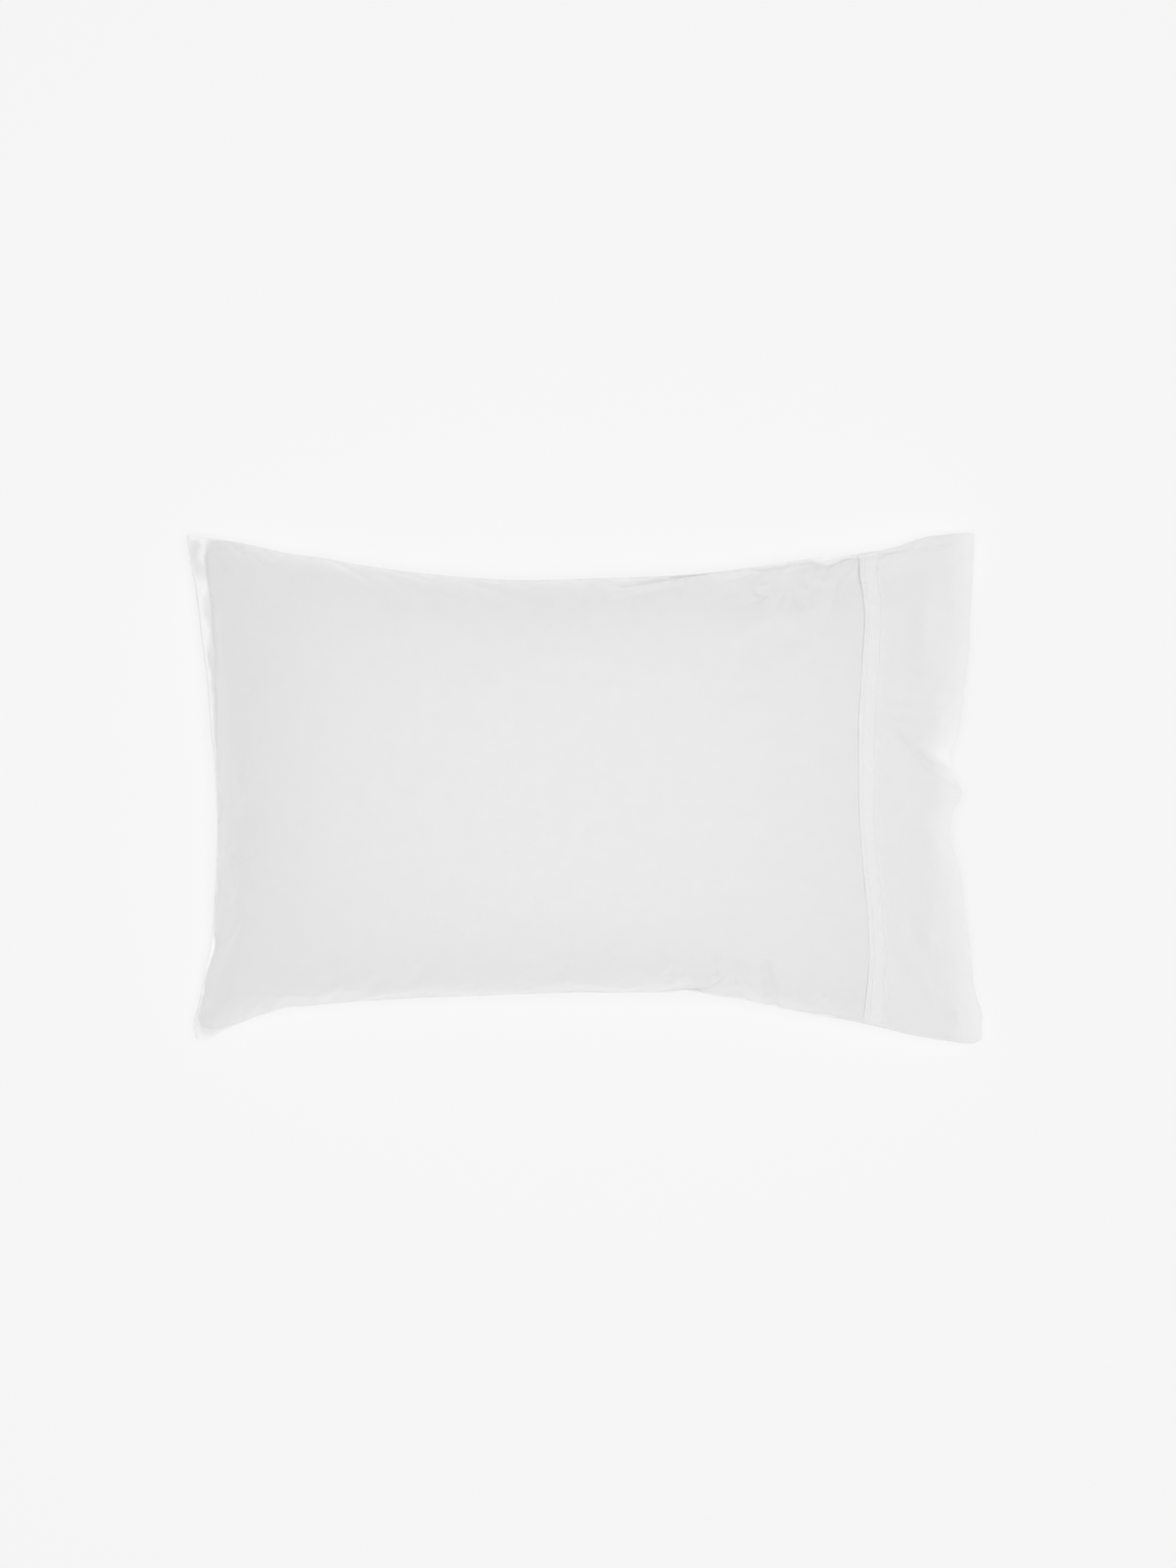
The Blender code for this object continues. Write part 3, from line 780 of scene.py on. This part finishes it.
def build_cuff(material):
    """The cuff's doubled cloth, a sleeve sewn at both sides and open at both ends."""
    marks = spread_marks((7, 0.45), (16, 1.1), (19, 0.5), (26, 1.4), (108, 3), (120, 1.5))
    shares = spread_marks((1, 0.5), (507, 1.95), (508, 0.5))
    front, back, thick = lay_cuff(marks, shares)
    outer = ring(front, back)
    normals = ring_outward(outer)
    inner = outer - thick[..., None] * normals
    kept = np.unique(np.linspace(0, len(marks) - 1, 26).astype(int))
    mouth_fold = turn_over(outer[-1], inner[-1], unit(outer[-1] - outer[-2]))
    edge_fold = turn_over(inner[0], outer[0], unit(outer[0] - outer[1]))
    rows = np.concatenate((outer, mouth_fold, inner[kept[::-1]], edge_fold, outer[:1]))
    rows = np.concatenate((rows, rows[:, :1]), axis=1)
    steps = np.linalg.norm(np.diff(rows[:, len(shares) // 2], axis=0), axis=1)
    flat_along = np.concatenate(((0.0,), np.cumsum(steps)))
    flat_along[:len(marks)] = marks
    flat_across = np.concatenate((shares, 2 * FLAT_WIDTH - shares[-2::-1]))
    mesh = bmesh.new()
    put_grid(mesh, rows, flat_map(flat_along, flat_across))
    sew(mesh)
    return make_piece(mesh, "cuff_cloth", material), outer, normals, marks, flat_across[:-1]


def build_stitches(material, outer, normals, marks, flat_across):
    """Two rows of topstitching round the sleeve, each stitch a small flattened bead."""
    mesh = bmesh.new()
    around = 2 * FLAT_WIDTH
    closed_points = np.concatenate((outer, outer[:, :1]), axis=1)
    closed_normals = np.concatenate((normals, normals[:, :1]), axis=1)
    widths = np.concatenate((flat_across, (around,)))

    def row_at(grid, mark, places):
        i = np.searchsorted(marks, mark, side="right") - 1
        share = (mark - marks[i]) / (marks[i + 1] - marks[i])
        line = grid[i] + share * (grid[i + 1] - grid[i])
        return np.stack([np.interp(places % around, widths, column) for column in line.T], axis=1)

    def sew_beads(places_of_beads):
        """A few beads at a time, because an operator slows down in a large mesh."""
        few = bmesh.new()
        for place in places_of_beads:
            bmesh.ops.create_uvsphere(few, u_segments=6, v_segments=5, radius=1, matrix=place)
        data = bpy.data.meshes.new("few beads")
        few.to_mesh(data)
        few.free()
        mesh.from_mesh(data)
        bpy.data.meshes.remove(data)

    beads = []
    for k, mark in enumerate(STITCH_ROWS):
        places = np.arange(0.5, around / STITCH_PITCH - 0.5) * STITCH_PITCH + STITCH_LAG * k
        middles = row_at(closed_points, mark, places)
        ahead = row_at(closed_points, mark, places + 1)
        behind = row_at(closed_points, mark, places - 1)
        ups = row_at(closed_normals, mark, places)
        tilts = 0.10 + 0.05 * uneven(places, 31, 13)
        for middle, way, up, tilt in zip(middles, ahead - behind, ups, tilts.tolist()):
            up = Vector(up).normalized()
            way = Vector(way).normalized()
            way = (way + tilt * up.cross(way).normalized()).normalized()
            turn = Matrix((way, up.cross(way).normalized(), up)).transposed().to_4x4()
            size = Matrix.Diagonal((STITCH_LENGTH / 2, THREAD / 2, THREAD * THREAD_RISE, 1 / MM)) * MM
            place = Matrix.Translation((Vector(middle + ORIGIN) + up * 0.03) * MM)
            beads.append(place @ turn @ size)
    for first in range(0, len(beads), 24):
        sew_beads(beads[first:first + 24])
    for face in mesh.faces:
        face.smooth = True
    return make_piece(mesh, "cuff_topstitching", material)


# ---------------- materials
def set_inputs(node, values):
    """Give inputs of a node their values, by the inputs' names."""
    for name, value in values.items():
        node.inputs[name].default_value = value


def new_material(name):
    """A material, its nodes and links, and its shader."""
    material = bpy.data.materials.new(name)
    material.use_nodes = True
    nodes = material.node_tree.nodes
    return material, nodes, material.node_tree.links, nodes["Principled BSDF"]


def add_relief(material, height, strength, distance):
    """Let the light see a height that the mesh doesn't have."""
    nodes, links = material.node_tree.nodes, material.node_tree.links
    relief = nodes.new("ShaderNodeBump")
    set_inputs(relief, {"Strength": strength, "Distance": distance})
    links.new(height, relief.inputs["Height"])
    links.new(relief.outputs[0], nodes["Principled BSDF"].inputs["Normal"])


def cotton_group():
    """Plain-woven cotton: colour, roughness and height from the cloth's own flat measures."""
    group = bpy.data.node_groups.new("plain_weave_cotton", "ShaderNodeTree")

    def add_socket(name, kind, way="INPUT"):
        return group.interface.new_socket(name=name, in_out=way, socket_type="NodeSocket" + kind)

    add_socket("Cloth", "Vector")
    add_socket("Tone", "Color").default_value = (0.84, 0.84, 0.84, 1)
    add_socket("Mottle", "Float").default_value = 0.02
    add_socket("Threads per metre", "Float").default_value = 2200
    for name, kind in (("Color", "Color"), ("Roughness", "Float"), ("Height", "Float")):
        add_socket(name, kind, "OUTPUT")
    nodes, links = group.nodes, group.links
    given, result = nodes.new("NodeGroupInput"), nodes.new("NodeGroupOutput")

    def math_node(kind, *inputs):
        node = nodes.new("ShaderNodeMath")
        node.operation = kind
        for k, value in enumerate(inputs):
            if isinstance(value, (int, float)):
                node.inputs[k].default_value = value
            else:
                links.new(value, node.inputs[k])
        return node.outputs[0]

    split = nodes.new("ShaderNodeSeparateXYZ")
    links.new(given.outputs["Cloth"], split.inputs[0])
    turn = math_node("MULTIPLY", given.outputs["Threads per metre"], math.pi)
    warp = math_node("SINE", math_node("MULTIPLY", split.outputs[0], turn))
    weft = math_node("SINE", math_node("MULTIPLY", split.outputs[1], turn))
    weave = math_node("MULTIPLY", warp, weft)

    def noise_node(scale_x, scale_y, detail):
        stretch = nodes.new("ShaderNodeMapping")
        set_inputs(stretch, {"Scale": (scale_x, scale_y, 1)})
        links.new(given.outputs["Cloth"], stretch.inputs["Vector"])
        cloud = nodes.new("ShaderNodeTexNoise")
        set_inputs(cloud, {"Scale": 1.0, "Detail": detail})
        links.new(stretch.outputs[0], cloud.inputs["Vector"])
        return cloud.outputs["Fac"]

    slubs = math_node("ADD", noise_node(60, 900, 2), noise_node(900, 60, 2))
    patches = noise_node(55, 55, 3)
    mixed = math_node("ADD", math_node("MULTIPLY", slubs, 0.5), patches)
    shade = math_node("MULTIPLY", math_node("SUBTRACT", mixed, 1.0), given.outputs["Mottle"])
    tint = nodes.new("ShaderNodeMix")
    tint.data_type = "RGBA"
    tint.blend_type = "MULTIPLY"
    tint.inputs["Factor"].default_value = 1.0
    links.new(given.outputs["Tone"], tint.inputs["A"])
    grey = nodes.new("ShaderNodeCombineColor")
    level = math_node("ADD", shade, 1.0)
    for k in range(3):
        links.new(level, grey.inputs[k])
    links.new(grey.outputs[0], tint.inputs["B"])
    links.new(tint.outputs["Result"], result.inputs["Color"])
    links.new(math_node("ADD", math_node("MULTIPLY", patches, 0.12), 0.8), result.inputs["Roughness"])
    height = math_node("ADD", math_node("MULTIPLY", weave, 0.5), slubs)
    links.new(height, result.inputs["Height"])
    return group


def tone_along(material, spot_of_cloth, tones):
    """A grey that eases from one tone to the next at places along the cloth: place, width, new tone."""
    nodes, links = material.node_tree.nodes, material.node_tree.links
    split = nodes.new("ShaderNodeSeparateXYZ")
    links.new(spot_of_cloth, split.inputs[0])
    tone, level = tones[0], None
    for place, width, new_tone in tones[1:]:
        step = nodes.new("ShaderNodeMapRange")
        step.interpolation_type = "SMOOTHSTEP"
        set_inputs(step, {"From Min": (place - width / 2) * MM, "From Max": (place + width / 2) * MM})
        step.inputs["To Min"].default_value = tone if level is None else 0.0
        step.inputs["To Max"].default_value = new_tone if level is None else new_tone - tone
        links.new(split.outputs[0], step.inputs["Value"])
        if level is None:
            level = step.outputs["Result"]
        else:
            both = nodes.new("ShaderNodeMath")
            links.new(level, both.inputs[0])
            links.new(step.outputs["Result"], both.inputs[1])
            level = both.outputs[0]
        tone = new_tone
    grey = nodes.new("ShaderNodeCombineColor")
    for k in range(3):
        links.new(level, grey.inputs[k])
    return grey.outputs[0]


def cotton(name, group, tone, depth):
    """White cotton on the piece's own UV map. Light passes through it to a depth, so thin edges glow.

    tone holds one grey, or a first grey and then the steps that tone_along takes.
    """
    material, nodes, links, shader = new_material(name)
    cloth = nodes.new("ShaderNodeUVMap")
    weave = nodes.new("ShaderNodeGroup")
    weave.node_tree = group
    if len(tone) > 1:
        links.new(tone_along(material, cloth.outputs[0], tone), weave.inputs["Tone"])
    else:
        weave.inputs["Tone"].default_value = (*tone * 3, 1)
    weave.inputs["Mottle"].default_value = 0.03
    links.new(cloth.outputs[0], weave.inputs["Cloth"])
    links.new(weave.outputs["Color"], shader.inputs["Base Color"])
    links.new(weave.outputs["Roughness"], shader.inputs["Roughness"])
    add_relief(material, weave.outputs["Height"], 0.25, 0.0002)
    set_inputs(shader, {
        "Subsurface Weight": 1.0,
        "Subsurface Radius": (1, 1, 1),
        "Subsurface Scale": depth * MM,
        "Specular IOR Level": 0.25,
        "Sheen Weight": 0.35,
        "Sheen Roughness": 0.5,
    })
    return material


def thread(name, tone):
    """Sewing thread: twisted cotton with a faint gloss."""
    material, nodes, links, shader = new_material(name)
    place = nodes.new("ShaderNodeTexCoord")
    twist = nodes.new("ShaderNodeTexNoise")
    set_inputs(twist, {"Scale": 2600, "Detail": 2})
    links.new(place.outputs["Object"], twist.inputs["Vector"])
    shades = nodes.new("ShaderNodeValToRGB")
    shades.color_ramp.elements[0].color = (*[0.93 * c for c in tone], 1)
    shades.color_ramp.elements[1].color = (*tone, 1)
    links.new(twist.outputs["Fac"], shades.inputs["Fac"])
    links.new(shades.outputs[0], shader.inputs["Base Color"])
    add_relief(material, twist.outputs["Fac"], 0.4, 0.0001)
    set_inputs(shader, {"Roughness": 0.6, "Specular IOR Level": 0.35})
    return material


# ---------------- stage, lights and camera
FLOOR_TONE = 0.12
FLOOR_GLOW = 0.785
WALL_LIGHT = 0.61
CEILING_LIGHT = 0.48
CAMERA_RISE = 5.0            # how far the camera stands above VIEW_MIDDLE
VIEW_MIDDLE = (0.00286, 0.00458, 0.045)
VIEW_LENGTH = 1.5664         # what the picture's longer side covers there


def build_stage():
    """A pale floor, a white room, a large lamp overhead and the glow of a lit table below."""
    mesh = bmesh.new()
    bmesh.ops.create_grid(mesh, x_segments=1, y_segments=1, size=6.0)
    paint, *_, shader = new_material("pale_floor")
    set_inputs(shader, {"Base Color": (FLOOR_TONE, FLOOR_TONE, FLOOR_TONE, 1), "Roughness": 0.9})
    set_inputs(shader, {"Emission Color": (1, 1, 1, 1), "Emission Strength": FLOOR_GLOW})
    floor = make_piece(mesh, "floor", paint)

    world = bpy.data.worlds.new("studio")
    bpy.context.scene.world = world
    world.use_nodes = True
    nodes, links = world.node_tree.nodes, world.node_tree.links
    sky = nodes["Background"]
    set_inputs(sky, {"Color": (1, 1, 1, 1)})
    place = nodes.new("ShaderNodeTexCoord")
    split = nodes.new("ShaderNodeSeparateXYZ")
    upper = nodes.new("ShaderNodeMapRange")
    upper.interpolation_type = "SMOOTHSTEP"
    set_inputs(upper, {"From Min": 0.05, "From Max": 0.55, "To Min": WALL_LIGHT, "To Max": CEILING_LIGHT})
    links.new(place.outputs["Generated"], split.inputs[0])
    links.new(split.outputs["Z"], upper.inputs["Value"])
    links.new(upper.outputs["Result"], sky.inputs["Strength"])

    def soft_box(name, place, size, power, aim):
        """A square lamp, aimed at a point."""
        light = bpy.data.lights.new(name, "AREA")
        light.shape = "SQUARE"
        light.size = size
        light.energy = power
        lamp = put_in_scene(name, light)
        direction = np.array(aim) - np.array(place)
        lamp.location = place
        heading = math.atan2(direction[1], direction[0])
        tilt = math.acos(-direction[2] / np.linalg.norm(direction))
        lamp.rotation_euler = (0, -tilt, heading)
        lamp.visible_camera = False

    soft_box("overhead", (0.12, -0.03, 3.2), 1.0, 57, (0, 0, 0.08))
    soft_box("light_table", (0, 0, 0.0004), 2.0, 4.8, (0, 0, 1))


def build_camera():
    """Straight above the case, far enough off for little perspective."""
    camera = bpy.data.cameras.new("camera")
    camera.sensor_width = 36
    camera.lens = 36 * CAMERA_RISE / VIEW_LENGTH
    camera.clip_end = 50
    viewer = put_in_scene("camera", camera)
    x, y, z = VIEW_MIDDLE
    viewer.location = (x, y, z + CAMERA_RISE)
    bpy.context.scene.camera = viewer


build_stage()
build_camera()
weave = cotton_group()
body_cotton = cotton("body_cotton", weave, (0.785,), depth=1.25)
# the cuff's grey: slightly lighter over the turned-under hem band, then painted lighter over the last
# stretch to the mouth, a painted glow standing in for light shining through the unfilled cloth there
cuff_tones_and_painted_glow = (0.822, (HEM_TURN + 1, 2, 0.806), (103, 34, 0.87))
cuff_cotton = cotton("cuff_cotton", weave, cuff_tones_and_painted_glow, depth=0.2)
sewing_thread = thread("sewing_thread", (0.76, 0.76, 0.76))

body = build_body(body_cotton)
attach(body, "root")
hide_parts("case_body")

cuff, *sleeve = build_cuff(cuff_cotton)
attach(cuff, "root")
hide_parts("cuff")

stitches = build_stitches(sewing_thread, *sleeve)
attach(stitches, "root")

bpy.context.scene.view_settings.view_transform = "Standard"
